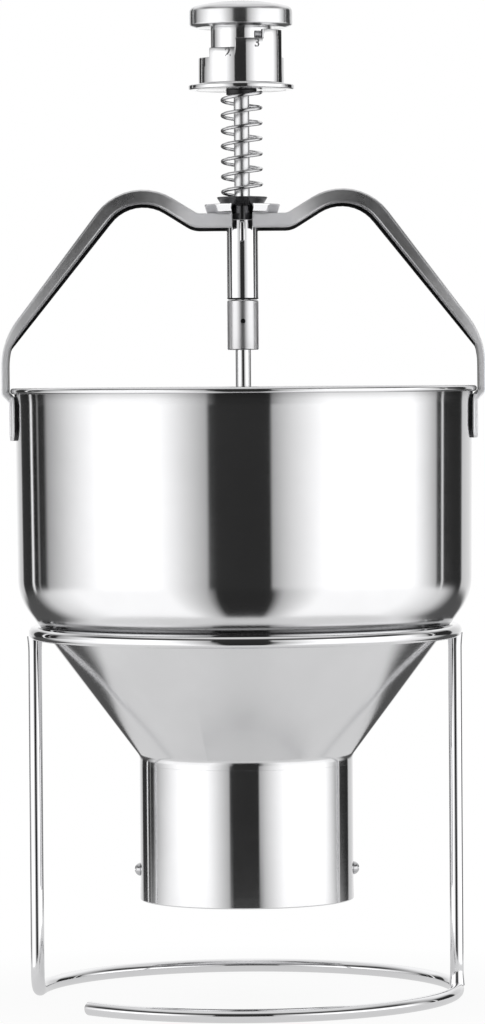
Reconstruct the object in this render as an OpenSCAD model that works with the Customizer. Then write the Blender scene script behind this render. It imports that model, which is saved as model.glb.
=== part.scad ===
// Hand-held dropper for ring doughnut batter, standing in its wire stand.
// A steel hopper with a round outlet hangs from a pressed handle. A sprung plunger runs down its middle,
// and a stepped collar under the knob sets how large each ring of batter is.
// Millimetres, +Z up, with the origin on the floor under the middle of the hopper.

/* [Stand] */
// Diameter of the round stand wire
wire_d = 7; // [6:0.5:8]
// How far both stand rings lie inside the bowl's lower corner, to the middle of the wire
ring_inset = 8.7; // [6.7:0.1:12.7]
// Height of the top ring above the floor, to the middle of the wire
ring_h = 189; // [175:1:220]
// How far the base ring runs round, from the left leg to its free end
base_sweep = 312; // [290:1:330]
// Bend radius where the left leg turns into the base ring, to the middle of the wire
leg_bend_r = 10; // [8:1:16]

/* [Hopper] */
// Outer diameter of the rolled rim
rim_d = 240; // [238:0.5:246]
// Thickness of the rolled rim
bead_d = 3.2; // [2.8:0.1:4]
// How far the rim stands out beyond the bowl's wall
rim_proud = 2.4; // [2:0.1:3]
// How far the wall draws in from the rim to the bowl's lower corner
wall_draft = 0.9; // [0.4:0.1:1.6]
// Height of the bowl from its lower corner to the top of the rim
bowl_h = 108; // [95:1:130]
// Thickness of the bowl's sheet
sheet_t = 1.2; // [0.8:0.1:1.6]
// Outer radius of the bowl's lower corner
corner_r = 30; // [20:1:34]
// Angle between the cone and the vertical
cone_angle = 37; // [34:1:42]
// Radius of the soft turn from the cone to the outlet
neck_blend_r = 6; // [3:0.5:10]
// Outer diameter of the outlet tube
tube_d = 110; // [104:1:116]
// Wall of the outlet tube
tube_t = 1.5; // [1:0.1:2]
// Length of the outlet below the corner of the cone
tube_l = 74.2; // [70:1:90]

/* [Nozzle] */
// Bore of the nozzle that the plunger works in
nozzle_bore = 46; // [40:1:50]
// Length of the nozzle's straight bore
nozzle_l = 26; // [24:1:30]
// Sheet thickness of the nozzle insert
nozzle_t = 2; // [1.5:0.1:2.5]
// Slope of the nozzle's funnel
web_angle = 26; // [18:1:32]
// Section of the ring that seals the nozzle insert
gasket_d = 3; // [2.5:0.1:3.4]
// Diameter of the screws that hold the nozzle insert
screw_d = 4; // [3:0.5:5]
// Head diameter of those screws
screw_head_d = 6.8; // [6.4:0.1:9]
// Head height of those screws
screw_head_h = 3; // [2:0.1:3.3]
// Height of the screws above the end of the outlet
screw_up = 15.4; // [14:0.2:18]

/* [Handle] */
// Thickness of the handle strap
strap_t = 3; // [2.5:0.1:3.5]
// Width of the handle strap
strap_w = 25; // [23:0.5:30]
// Depth of the turned-down lips on the hump, from the top of the strap
lip_depth = 8.6; // [7:0.1:11]
// Depth of the lips where they run out at the knee
knee_lip = 4.8; // [4:0.1:6]
// Thickness of the turned-down lips
lip_t = 2.5; // [2:0.1:3]
// How far the outer faces of the two arms stand out beyond the rim
arm_proud = 4; // [3.8:0.1:8]
// Place of the top of each arm, as a share of the way out to the arm's face
apex_share = 0.4715; // [0.44:0.0005:0.5]
// Half the length of the flat middle of the handle
bridge_half = 23; // [21:0.5:26]
// Slope of the short rise at each side of the middle
rise_angle = 32; // [28:1:36]
// Angle between the long arms and the vertical
arm_angle = 37; // [34:1:40]
// Outer radius of the hump at the top of each arm, as a share of the same way out
arch_share = 0.2363; // [0.19:0.0001:0.25]
// Height of the knee above the rim
knee_rise = 24; // [20:1:30]
// Outer radius of the knee
knee_r = 40; // [14:1:44]
// Width of the tab that is welded to the bowl
tab_w = 42; // [34:1:48]
// How far the tab reaches below the rim
tab_drop = 27; // [22:1:34]

/* [Guide] */
// Diameter of the plunger rod
rod_d = 8; // [7:0.5:9]
// Diameter of the guide sleeve and of the stop collar
sleeve_d = 16.2; // [14.6:0.2:18]
// Length of the guide sleeve
sleeve_l = 41; // [36:1:50]
// Length of the stop collar on the rod
stop_l = 25.7; // [20:0.5:32]
// Diameter of the pin through the stop collar
stop_pin_d = 2.4; // [2:0.1:3]
// Width of the notch in the front of the handle and of the thrust plate
notch_w = 10.4; // [10.3:0.1:12]
// Diameter of the lower spring seat's hub, which sits in the notch
hub_d = 10; // [9.8:0.1:10.1]
// Largest diameter of the thrust plate
plate_d = 39; // [36:0.5:42]
// Thickness of the thrust plate
plate_h = 4.8; // [4:0.1:6]

/* [Return spring] */
// Outer diameter of the spring
spring_d = 21.6; // [20.8:0.1:22.4]
// Diameter of the spring wire
spring_wire_d = 1.76; // [1.4:0.02:2]
// Length of the spring between its two seats
spring_l = 57.5; // [50:0.5:64]
// Number of curls of the spring
spring_turns = 7; // [5.5:0.25:7.5]
// Largest diameter of the lower spring seat
lower_seat_d = 26.5; // [25.6:0.1:29]
// Height of the lower spring seat
lower_seat_h = 4.6; // [4:0.1:6]
// Diameter of the spigot that centres the spring's upper end
spigot_d = 15.6; // [12:0.2:15.8]

/* [Knob and dose collar] */
// Diameter of the knob cap
cap_d = 53; // [50:0.5:58]
// Height of the knob cap
cap_h = 13.9; // [11:0.1:16]
// Diameter of the knob's neck
neck_d = 31.4; // [28:0.2:34]
// Outer diameter of the dose collar
collar_d = 44; // [42:0.5:48]
// Inner diameter of the dose collar
collar_bore = 38; // [36:0.5:40]
// Diameter of the collar's flange
flange_d = 54.4; // [50:0.2:58]
// Thickness of the collar's flange
flange_t = 2.6; // [1.6:0.1:3]
// Height of the collar from its flange's underside to its lowest land
collar_low_h = 16.2; // [15:0.2:20]
// Number of steps above the lowest land
step_count = 3; // [2:1:4]
// Height of one step
step_h = 4.63; // [3.5:0.01:5]
// Angle that one step takes up
step_angle = 40; // [30:1:44]
// Direction of the first riser, seen from above
first_riser = -138; // [-150:1:-120]
// Diameter of the pin that the collar's steps rest on
dose_pin_d = 4; // [3:0.5:5]

/* [Piston] */
// Diameter of the piston
piston_d = 45.8; // [39.8:1:49.8]
// Height of the piston
piston_h = 12; // [10:1:16]
// Height of the piston above the nozzle's bore when the knob is up
piston_lift = 6; // [4:1:8]
// Thickness of the forming disc's edge
disc_h = 4; // [3:0.5:6]
// Diameter of the spacer tube between the piston and the forming disc
spacer_d = 12; // [11:0.5:16]

/* [Hidden] */
$fn = 64;

// Clearances and the overrun of every cut
overrun = 1;
run_gap = 0.08;
fit_gap = 0.03;
weld_gap = 0.1;
rest_gap = 0.3;

// Rim, bowl and stand, each set out from the rim
rim_r = rim_d / 2;
bowl_r = rim_r - rim_proud;
low_r = bowl_r - wall_draft;
stand_r = low_r - ring_inset;
wire_r = wire_d / 2;
bend_turn = atan(leg_bend_r / stand_r);

// Hopper, placed so that its cone rests in the top ring
tube_r = tube_d / 2;
cone_z = ring_h - ((stand_r - tube_r) * cos(cone_angle) - wire_r - rest_gap) / sin(cone_angle);
corner_z = cone_z + (low_r - tube_r) / tan(cone_angle);
rim_z = corner_z + bowl_h;
tube_z = cone_z - tube_l;
neck_straight = 2;
neck_z = cone_z - neck_blend_r * tan(cone_angle / 2) - neck_straight;
function wall_r(z) = low_r + (bowl_r - low_r) * (z - corner_z) / bowl_h;

// Nozzle insert inside the outlet
screw_z = tube_z + screw_up;
skirt_r = tube_r - tube_t - weld_gap;
skirt_up = 7.3;
skirt_z = tube_z + skirt_up;
bore_r = nozzle_bore / 2;
bore_up = 9.3;
bore_z = tube_z + bore_up;
web_z = bore_z + nozzle_l;
skirt_top_z = web_z + (skirt_r - bore_r) * tan(web_angle);
skirt_corner_r = 3;
bore_corner_r = 4;
nozzle_nut_w = 7;
nozzle_nut_h = 3.2;
screw_tail = 1.2;

// Handle
arm_x = rim_r + arm_proud;
knee_z = rim_z + knee_rise;
apex_x = apex_share * arm_x;
apex_z = knee_z + (arm_x - apex_x) / tan(arm_angle);
bridge_z = apex_z - (apex_x - bridge_half) * tan(rise_angle);
arch_r = arch_share * arm_x;
bridge_bend_r = 3;
jog_r = 3;
jog_h = 5.5;
jog_z = rim_z - bead_d - overrun;
tab_t = 2.4;
tab_corner_r = 8;
tab_z = rim_z - tab_drop;
tab_top_z = jog_z - jog_h;
tab_x = wall_r(rim_z) + weld_gap + strap_t;
lip_end = 2;
lip_root = 1.5;

// Guide on the handle's middle
plate_flare = 1.3;
plate_rim = 3;
plate_recess = 0.8;
hub_depth = 3;
sleeve_top_z = bridge_z - strap_t;
sleeve_z = sleeve_top_z - sleeve_l;
stop_top_z = sleeve_z - rest_gap;
stop_z = stop_top_z - stop_l;
stop_pin_drop = 11;
stop_pin_inset = 1;
key_w = 3;
key_l = 10.7;
key_proud = 1.2;
key_sunk = 1;
key_drop = 0.9;

// Return spring and its seats
lower_seat_z = bridge_z + plate_h - plate_recess;
lower_seat_low_d = 21;
lower_seat_floor = 2;
lower_seat_side = 0.35;
spring_floor_z = lower_seat_z + lower_seat_floor;
upper_seat_z = spring_floor_z + spring_l;
spring_r = (spring_d - spring_wire_d) / 2;
spring_z = spring_floor_z + rest_gap + spring_wire_d / 2;
spring_rise = spring_l - 2 * rest_gap - spring_wire_d;
spring_rings = 8;
spring_sides = 6;
spigot_h = 2.6;
seat_lip = 1;
seat_disc_d = collar_d + 2 * seat_lip;
seat_disc_t = 1.2;
shoulder_h = 2.5;

// Dose collar and knob
collar_z = upper_seat_z;
land_z = collar_z + collar_low_h;
flange_edge = 0.6;
cap_clear = 1.7;
cap_z = land_z + step_count * step_h + cap_clear;
cap_draw = 3.5;
cap_draw_h = 1.2;
cap_low_r = 1.2;
cap_edge_r = 3;
cap_dome_h = 3.6;
cap_spigot_h = 4;
neck_clear = 0.6;
neck_bottom_z = collar_z + seat_disc_t + shoulder_h + neck_clear;
neck_wall = 3.2;
neck_floor = 5;
dose_pin_z = land_z + dose_pin_d / 2 + fit_gap;
dose_pin_turn = 90;
nut_w = 13;
nut_h = 6.5;
rod_tail = 1.5;

// Piston stack on the lower end of the rod
disc_gap = 0.3;
disc_r = bore_r - disc_gap;
disc_hub_d = 18;
disc_hub_h = 2;
disc_top_z = bore_z + disc_h + disc_hub_h;
piston_z = web_z + piston_lift;
ring_d = 2.2;
ring_proud = 0.05;
groove_h = 2.6;
groove_depth = 2.4;
rod_z = bore_z - nut_h - rod_tail;
knob_nut_z = neck_bottom_z + neck_floor;
rod_top_z = knob_nut_z + nut_h + rod_tail;

// Plane geometry: rounded paths and the strips between two shifted copies of a path
arc_steps = 8;
function unit(v) = v / norm(v);
function left(v) = [-v[1], v[0]];
function spin(v, a) = [v[0] * cos(a) - v[1] * sin(a), v[0] * sin(a) + v[1] * cos(a)];
function flip_x(pts) = [for (i = [len(pts) - 1:-1:0]) [-pts[i][0], pts[i][1]]];
function reverse(list) = [for (i = [len(list) - 1:-1:0]) list[i]];
function heading(pts, i) = unit(pts[i + 1] - pts[i]);
function turn_side(pts, i) = sign(cross(heading(pts, i - 1), heading(pts, i)));
function corner_arc(pts, i, r) =
    let (u = heading(pts, i - 1), w = heading(pts, i), side = sign(cross(u, w)), turn = acos(u * w),
         start = pts[i] - u * r * tan(turn / 2), middle = start + left(u) * r * side)
    [for (k = [0:arc_steps]) middle + spin(start - middle, side * turn * k / arc_steps)];
function round_path(pts, radii) =
    [for (i = [0:len(pts) - 1]) each (radii[i] == 0 ? [pts[i]] : corner_arc(pts, i, radii[i]))];
function shifted_point(pts, i, d) =
    let (before = max(i - 1, 0), after = min(i, len(pts) - 2),
         a = left(heading(pts, before)), b = left(heading(pts, after)))
    pts[i] + d * (a + b) / (1 + a * b);
function shift_path(pts, d) = [for (i = [0:len(pts) - 1]) shifted_point(pts, i, d)];
function shift_radii(pts, radii, d) =
    [for (i = [0:len(pts) - 1]) radii[i] == 0 ? 0 : radii[i] - d * turn_side(pts, i)];
function shifted_round(pts, radii, d) = round_path(shift_path(pts, d), shift_radii(pts, radii, d));
// A dome's line, from its edge at radius r and height z up to the axis
function dome(r, z, h) =
    let (ball = (r * r + h * h) / (2 * h), spread = asin(r / ball))
    [for (k = [0:arc_steps])
     let (a = spread * (1 - k / arc_steps)) [ball * sin(a), z + h - ball + ball * cos(a)]];
function strip(pts, radii, d) = concat(round_path(pts, radii), reverse(shifted_round(pts, radii, d)));

// The handle's top line from its middle to the end of the right tab
right_pts = [[bridge_half, bridge_z], [apex_x, apex_z], [arm_x, knee_z],
             [arm_x, jog_z], [tab_x, jog_z - jog_h], [tab_x, tab_z]];
right_radii = [bridge_bend_r, arch_r, knee_r, jog_r, jog_r, 0];
strap_pts = concat(flip_x(right_pts), right_pts);
strap_radii = concat(reverse(right_radii), right_radii);
// The same line from knee to knee, the lips' root inside the strap and their lower edge below it
lip_half = [[bridge_half, bridge_z], [apex_x, apex_z], [arm_x, knee_z]];
lip_pts = concat(flip_x(lip_half), lip_half);
lip_radii = [0, arch_r, bridge_bend_r, bridge_bend_r, arch_r, 0];
function lip_stop(back, depth) =
    let (down_arm = unit([arm_x - apex_x, knee_z - apex_z]))
    [arm_x, knee_z] - back * down_arm - depth * left(down_arm);
function lip_line(depth, stop) =
    let (all = shift_path(lip_pts, -depth),
         pts = concat([[-stop[0], stop[1]]], [for (i = [1:len(all) - 2]) all[i]], [stop]))
    round_path(pts, shift_radii(lip_pts, lip_radii, -depth));

// The spring's wire: a helix whose two ends run straight for one wire diameter
ring_count = round(spring_turns * spring_rings);
function helix(k) =
    let (a = 360 * k / spring_rings)
    [spring_r * cos(a), spring_r * sin(a), spring_z + spring_rise * k / ring_count];
spring_mid = [for (k = [0:ring_count]) helix(k)];
function along(k) = [-sin(360 * k / spring_rings), cos(360 * k / spring_rings), 0];
spring_path = concat([spring_mid[0] - spring_wire_d * along(0)], spring_mid,
                     [spring_mid[ring_count] + spring_wire_d * along(ring_count)]);
spring_gaps = [for (i = [0:len(spring_path) - 1]) for (j = [i + spring_rings - 1:1:len(spring_path) - 1])
               norm(spring_path[i] - spring_path[j]) - spring_wire_d];
echo(least_gap_of_spring_to_itself = min(spring_gaps));

// Shapes that repeat
module tube(outer, inner, z, h) {
    translate([0, 0, z])
        difference() {
            cylinder(d = outer, h = h);
            translate([0, 0, -overrun]) cylinder(d = inner, h = h + 2 * overrun);
        }
}

module hex_nut(width, bore, h) {
    difference() {
        cylinder(d = width / cos(30), h = h, $fn = 6);
        translate([0, 0, -overrun]) cylinder(d = bore, h = h + 2 * overrun);
    }
}

module wire_ring(z, grow) {
    translate([0, 0, z]) rotate_extrude() translate([stand_r, 0]) circle(r = wire_r + grow);
}

module both_sides() {
    children();
    mirror([1, 0, 0]) children();
}

// Turns a shape drawn along +Z so that it points along +X at the height of the screws
module at_screws() {
    both_sides() translate([0, 0, screw_z]) rotate([0, 90, 0]) children();
}

// Stand
module stand_top_ring() {
    color("gainsboro") wire_ring(ring_h, 0);
}

module stand_base_wire() {
    color("gainsboro") rotate([0, 0, -bend_turn])
        difference() {
            union() {
                translate([0, 0, wire_r]) rotate([0, 0, 180])
                    rotate_extrude(angle = -base_sweep) translate([stand_r, 0]) circle(r = wire_r);
                translate([-stand_r, 0, wire_r + leg_bend_r]) rotate([0, 90, 0]) rotate([180, 0, 0])
                    rotate_extrude(angle = 90) translate([leg_bend_r, 0]) circle(r = wire_r);
                translate([-stand_r, -leg_bend_r, wire_r + leg_bend_r])
                    cylinder(r = wire_r, h = ring_h - wire_r - leg_bend_r);
            }
            wire_ring(ring_h, weld_gap);
        }
}

module stand_right_leg() {
    color("gainsboro")
        difference() {
            translate([stand_r, 0, wire_r]) cylinder(r = wire_r, h = ring_h - wire_r);
            wire_ring(ring_h, weld_gap);
            wire_ring(wire_r, weld_gap);
        }
}

// Hopper
module hopper_bowl() {
    pts = [[tube_r, neck_z], [tube_r, cone_z], [low_r, corner_z], [bowl_r, rim_z - bead_d / 2]];
    color("silver") rotate_extrude() {
        polygon(strip(pts, [0, neck_blend_r, corner_r, 0], sheet_t));
        translate([rim_r - bead_d / 2, rim_z - bead_d / 2]) circle(d = bead_d);
    }
}

module outlet_tube() {
    color("silver")
        difference() {
            tube(tube_d, tube_d - 2 * tube_t, tube_z, neck_z - tube_z);
            at_screws() cylinder(d = screw_d + 2 * run_gap, h = tube_r + overrun);
        }
}

module nozzle_cone() {
    pts = [[skirt_r, skirt_z], [skirt_r, skirt_top_z], [bore_r, web_z], [bore_r, bore_z]];
    color("lightgray")
        difference() {
            rotate_extrude() polygon(strip(pts, [0, skirt_corner_r, bore_corner_r, 0], nozzle_t));
            at_screws() translate([0, 0, bore_r + nozzle_t + overrun])
                cylinder(d = screw_d + 2 * run_gap, h = tube_r - bore_r);
        }
}

// The sealing ring lies between the outlet's wall and the rounded top of the nozzle's skirt
module nozzle_gasket() {
    turn = 90 + web_angle;
    arc_z = skirt_top_z - skirt_corner_r * tan(turn / 2);
    ring_r = tube_r - tube_t - weld_gap - gasket_d / 2;
    reach = skirt_corner_r + gasket_d / 2 + weld_gap;
    over = ring_r - (skirt_r - skirt_corner_r);
    color("whitesmoke") translate([0, 0, arc_z + sqrt(reach * reach - over * over)])
        rotate_extrude() translate([ring_r, 0]) circle(d = gasket_d);
}

module nozzle_screws() {
    head_r = screw_head_d / 2;
    dome_r = (head_r * head_r + screw_head_h * screw_head_h) / (2 * screw_head_h);
    tail = nozzle_nut_h + nozzle_t + tube_t + screw_tail;
    color("gainsboro") at_screws() {
        translate([0, 0, tube_r + fit_gap])
            intersection() {
                cylinder(d = screw_head_d, h = screw_head_h);
                translate([0, 0, screw_head_h - dome_r]) sphere(r = dome_r);
            }
        translate([0, 0, tube_r - tail]) cylinder(d = screw_d, h = tail + screw_head_h / 2);
    }
}

module nozzle_nuts() {
    inner_r = skirt_r - nozzle_t;
    half = nozzle_nut_w / 2 / cos(30);
    seat = sqrt(inner_r * inner_r - half * half) - fit_gap;
    color("darkgray") at_screws() translate([0, 0, seat - nozzle_nut_h])
        hex_nut(nozzle_nut_w, screw_d + 2 * fit_gap, nozzle_nut_h);
}

// Handle: a strap with its edges turned down, and a tab on each end that hugs the bowl
module side_lip() {
    far = lip_line(lip_depth, lip_stop(lip_end, knee_lip));
    near = lip_line(lip_root, lip_stop(knee_r * tan(arm_angle / 2) / 2, lip_root));
    rotate([90, 0, 0]) linear_extrude(height = lip_t) polygon(concat(near, reverse(far)));
}

module handle_tab() {
    low = wall_r(tab_z) + weld_gap;
    high = wall_r(tab_top_z) + weld_gap;
    half = tab_w / 2;
    outline = [[-half, tab_top_z], [-half, tab_z], [half, tab_z], [half, tab_top_z]];
    intersection() {
        rotate_extrude()
            polygon([[low, tab_z], [low + tab_t, tab_z], [high + tab_t, tab_top_z], [high, tab_top_z]]);
        rotate([90, 0, 90]) linear_extrude(height = rim_r)
            polygon(round_path(outline, [0, tab_corner_r, tab_corner_r, 0]));
    }
}

// The slot that lets the plunger in from the front
module front_notch(z, h) {
    translate([0, 0, z]) {
        cylinder(d = notch_w, h = h);
        translate([-notch_w / 2, -plate_d, 0]) cube([notch_w, plate_d, h]);
    }
}

module handle_bridge() {
    color("dimgray")
        difference() {
            union() {
                rotate([90, 0, 0]) linear_extrude(height = strap_w, center = true)
                    polygon(strip(strap_pts, strap_radii, -strap_t));
                translate([0, strap_w / 2, 0]) side_lip();
                translate([0, lip_t - strap_w / 2, 0]) side_lip();
                both_sides() handle_tab();
            }
            front_notch(bridge_z - lip_depth - overrun, lip_depth + 2 * overrun);
        }
}

// Guide on the handle's middle
module thrust_plate() {
    top_z = bridge_z + plate_h;
    floor_z = top_z - plate_recess;
    plate_r = plate_d / 2;
    color("silver")
        difference() {
            rotate_extrude()
                polygon([[0, bridge_z], [plate_r - plate_flare, bridge_z], [plate_r, floor_z],
                         [plate_r, top_z], [plate_r - plate_rim, top_z],
                         [plate_r - plate_rim - plate_recess, floor_z], [0, floor_z]]);
            front_notch(bridge_z - overrun, plate_h + 2 * overrun);
        }
}

module guide_sleeve() {
    color("silver")
        difference() {
            tube(sleeve_d, rod_d + 2 * run_gap, sleeve_z, sleeve_l);
            translate([0, 0, sleeve_top_z - hub_depth - fit_gap])
                cylinder(d = hub_d + 2 * fit_gap, h = hub_depth + overrun);
            key_block(fit_gap);
        }
}

module key_block(grow) {
    translate([-key_w / 2 - grow, -sleeve_d / 2 - key_proud, sleeve_top_z - key_drop - key_l - grow])
        cube([key_w + 2 * grow, key_proud + key_sunk + grow, key_l + 2 * grow]);
}

module guide_key() {
    color("dimgray") key_block(0);
}

module lower_spring_seat() {
    bore = rod_d / 2 + run_gap;
    hub_z = sleeve_top_z - hub_depth;
    top_z = lower_seat_z + lower_seat_h;
    recess_r = spring_d / 2 + lower_seat_side;
    color("dimgray") rotate_extrude()
        polygon([[bore, hub_z], [hub_d / 2, hub_z], [hub_d / 2, lower_seat_z],
                 [lower_seat_low_d / 2, lower_seat_z], [lower_seat_d / 2, top_z],
                 [recess_r, top_z], [recess_r, spring_floor_z], [bore, spring_floor_z]]);
}

module return_spring() {
    last = len(spring_path) - 1;
    path_dir = [for (i = [0:last]) unit(spring_path[min(i + 1, last)] - spring_path[max(i - 1, 0)])];
    points = [for (i = [0:last])
              let (across = unit(cross(path_dir[i], [0, 0, 1])), up = cross(across, path_dir[i]))
              for (s = [0:spring_sides - 1])
              let (a = 360 * s / spring_sides)
              spring_path[i] + spring_wire_d / 2 * (across * cos(a) + up * sin(a))];
    walls = [for (i = [0:last - 1]) for (s = [0:spring_sides - 1])
             let (a = i * spring_sides + s, b = i * spring_sides + (s + 1) % spring_sides)
             each [[a, b, a + spring_sides], [b, b + spring_sides, a + spring_sides]]];
    first_cap = [for (s = [1:spring_sides - 2]) [0, s + 1, s]];
    end = last * spring_sides;
    last_cap = [for (s = [1:spring_sides - 2]) [end, end + s, end + s + 1]];
    color("silver") polyhedron(points, concat(walls, first_cap, last_cap));
}

// Plunger
module plunger_rod() {
    color("silver") difference() {
        translate([0, 0, rod_z]) cylinder(d = rod_d, h = rod_top_z - rod_z);
        stop_pin_shape(fit_gap, sleeve_d);
    }
}

module stop_pin_shape(grow, length) {
    translate([0, 0, stop_top_z - stop_pin_drop]) rotate([90, 0, 0])
        cylinder(d = stop_pin_d + 2 * grow, h = length, center = true);
}

module stop_collar() {
    color("silver")
        difference() {
            tube(sleeve_d, rod_d + 2 * fit_gap, stop_z, stop_l);
            stop_pin_shape(fit_gap, sleeve_d + 2 * overrun);
        }
}

module stop_pin() {
    color("gray") stop_pin_shape(0, sleeve_d - 2 * stop_pin_inset);
}

module knob_cap() {
    r = cap_d / 2;
    rim_low_z = cap_z + cap_draw_h;
    edge_z = cap_z + cap_h - cap_dome_h;
    side = [[r - cap_draw, cap_z], [r, rim_low_z]];
    radii = concat([0, cap_low_r, cap_edge_r], [for (k = [1:arc_steps]) 0]);
    spigot_r = neck_d / 2 - neck_wall - run_gap;
    color("silver") rotate_extrude()
        polygon(concat([[0, cap_z - cap_spigot_h], [spigot_r, cap_z - cap_spigot_h], [spigot_r, cap_z]],
                       round_path(concat(side, dome(r, edge_z, cap_dome_h)), radii)));
}

module knob_neck() {
    h = cap_z - neck_bottom_z;
    color("silver")
        difference() {
            translate([0, 0, neck_bottom_z]) cylinder(d = neck_d, h = h);
            translate([0, 0, knob_nut_z]) cylinder(d = neck_d - 2 * neck_wall, h = h);
            translate([0, 0, neck_bottom_z - overrun]) cylinder(d = rod_d + 2 * fit_gap, h = h);
            dose_pin_shape(fit_gap);
        }
}

module dose_pin_shape(grow) {
    inner = neck_d / 2 - neck_wall;
    translate([0, 0, dose_pin_z]) rotate([0, 90, dose_pin_turn]) translate([0, 0, inner - grow])
        cylinder(d = dose_pin_d + 2 * grow, h = collar_d / 2 - inner + 2 * grow);
}

module dose_pin() {
    color("silver") dose_pin_shape(0);
}

module knob_nut() {
    color("darkgray") translate([0, 0, knob_nut_z]) hex_nut(nut_w, rod_d + 2 * fit_gap, nut_h);
}

module piston() {
    groove_z = piston_z + (piston_h - groove_h) / 2;
    color("whitesmoke")
        difference() {
            tube(piston_d, rod_d + 2 * fit_gap, piston_z, piston_h);
            tube(piston_d + overrun, piston_d - 2 * groove_depth, groove_z, groove_h);
        }
}

module piston_ring() {
    color("black") translate([0, 0, piston_z + piston_h / 2])
        rotate_extrude() translate([piston_d / 2 + ring_proud - ring_d / 2, 0]) circle(d = ring_d);
}

module piston_nut() {
    color("darkgray") translate([0, 0, piston_z + piston_h]) hex_nut(nut_w, rod_d + 2 * fit_gap, nut_h);
}

module spacer_tube() {
    color("silver") tube(spacer_d, rod_d + 2 * fit_gap, disc_top_z, piston_z - disc_top_z);
}

module forming_disc() {
    bore = rod_d / 2 + fit_gap;
    color("silver") rotate_extrude()
        polygon([[bore, bore_z], [disc_r, bore_z], [disc_r, bore_z + disc_h],
                 [disc_hub_d / 2, disc_top_z], [bore, disc_top_z]]);
}

module disc_nut() {
    color("darkgray") translate([0, 0, bore_z - nut_h]) hex_nut(nut_w, rod_d + 2 * fit_gap, nut_h);
}

// Dose collar and the seat that the spring pushes it up with
module upper_spring_seat() {
    color("silver")
        difference() {
            union() {
                translate([0, 0, upper_seat_z - spigot_h])
                    cylinder(d = spigot_d, h = spigot_h + seat_disc_t);
                translate([0, 0, upper_seat_z]) cylinder(d = seat_disc_d, h = seat_disc_t);
                translate([0, 0, upper_seat_z + seat_disc_t])
                    cylinder(d = collar_bore - 2 * run_gap, h = shoulder_h);
            }
            translate([0, 0, upper_seat_z - spigot_h - overrun])
                cylinder(d = rod_d + 2 * run_gap, h = spigot_h + seat_disc_t + shoulder_h + 2 * overrun);
        }
}

// The collar is turned from one piece, then its stair is cut from the top, one sector for each lower land
module dose_collar() {
    inner = collar_bore / 2;
    outer = collar_d / 2;
    flange_r = flange_d / 2;
    stair_h = step_count * step_h;
    recess_r = seat_disc_d / 2 + run_gap;
    recess_h = seat_disc_t + run_gap;
    cut_w = outer - inner + 2 * overrun;
    top = collar_low_h + stair_h;
    color("silver")
        difference() {
            translate([0, 0, collar_z]) rotate_extrude()
                polygon([[inner, recess_h], [recess_r, recess_h], [recess_r, 0],
                         [flange_r - flange_edge, 0], [flange_r, flange_edge],
                         [flange_r, flange_t - flange_edge], [flange_r - flange_edge, flange_t],
                         [outer, flange_t], [outer, top], [inner, top]]);
            for (i = [0:step_count - 1])
                rotate([0, 0, first_riser + i * step_angle]) translate([0, 0, land_z + i * step_h])
                    rotate_extrude(angle = i == 0 ? step_count * step_angle - 360 : -step_angle)
                        translate([inner - overrun, 0]) square([cut_w, stair_h - i * step_h + overrun]);
        }
}

stand_top_ring();
stand_base_wire();
stand_right_leg();
hopper_bowl();
outlet_tube();
handle_bridge();
thrust_plate();
guide_sleeve();
guide_key();
lower_spring_seat();
return_spring();
nozzle_cone();
nozzle_gasket();
nozzle_screws();
nozzle_nuts();
plunger_rod();
stop_collar();
stop_pin();
knob_cap();
knob_neck();
knob_nut();
dose_pin();
piston();
piston_ring();
piston_nut();
spacer_tube();
forming_disc();
disc_nut();
upper_spring_seat();
dose_collar();
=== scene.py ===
"""Looks of the ring-batter dropper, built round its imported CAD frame.

Lengths are written in millimetres and become metres where a mesh is made. Heights come from the boxes of the
CAD nodes, so each piece sits where its node is. Every piece is a mesh of its own, with rounded edges.
"""

import math

import bmesh
import bpy
from mathutils import Matrix, Vector


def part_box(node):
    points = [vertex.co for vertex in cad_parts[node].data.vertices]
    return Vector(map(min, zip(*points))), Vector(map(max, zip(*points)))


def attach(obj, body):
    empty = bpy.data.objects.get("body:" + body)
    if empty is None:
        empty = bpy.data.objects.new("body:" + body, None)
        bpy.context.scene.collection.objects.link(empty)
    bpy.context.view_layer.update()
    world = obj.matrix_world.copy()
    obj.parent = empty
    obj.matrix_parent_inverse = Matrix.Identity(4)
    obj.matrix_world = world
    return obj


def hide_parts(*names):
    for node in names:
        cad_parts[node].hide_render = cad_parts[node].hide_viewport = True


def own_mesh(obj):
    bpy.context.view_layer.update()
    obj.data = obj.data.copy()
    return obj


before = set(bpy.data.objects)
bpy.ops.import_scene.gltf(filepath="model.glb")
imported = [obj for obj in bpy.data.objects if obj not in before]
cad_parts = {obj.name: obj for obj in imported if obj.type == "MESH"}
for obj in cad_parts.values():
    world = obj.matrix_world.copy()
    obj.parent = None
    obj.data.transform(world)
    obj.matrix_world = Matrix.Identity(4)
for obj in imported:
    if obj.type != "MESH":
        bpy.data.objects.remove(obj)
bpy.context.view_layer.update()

MM = 0.001


def low_z(node):
    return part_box(node)[0].z / MM


def high_z(node):
    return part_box(node)[1].z / MM


def middle_z(node):
    return (low_z(node) + high_z(node)) / 2


# Sizes in millimetres. They are those of the CAD source, apart from the end of the handle's lips, its jog under the
# rim and the spring's wire, which follow the photograph more closely.

# Play between pieces that fit tightly, and between pieces that run on each other
FIT = 0.03
RUN = 0.08

# Stand
WIRE_R = 3.5
STAND_R = 108.0
RING_Z = middle_z("stand_top_ring")
LEG_BEND_R = 10.0
LEFT_LEG_INSET = 2.0
RIGHT_LEG_INSET = 1.5
BASE_SWEEP = math.radians(312)

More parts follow.
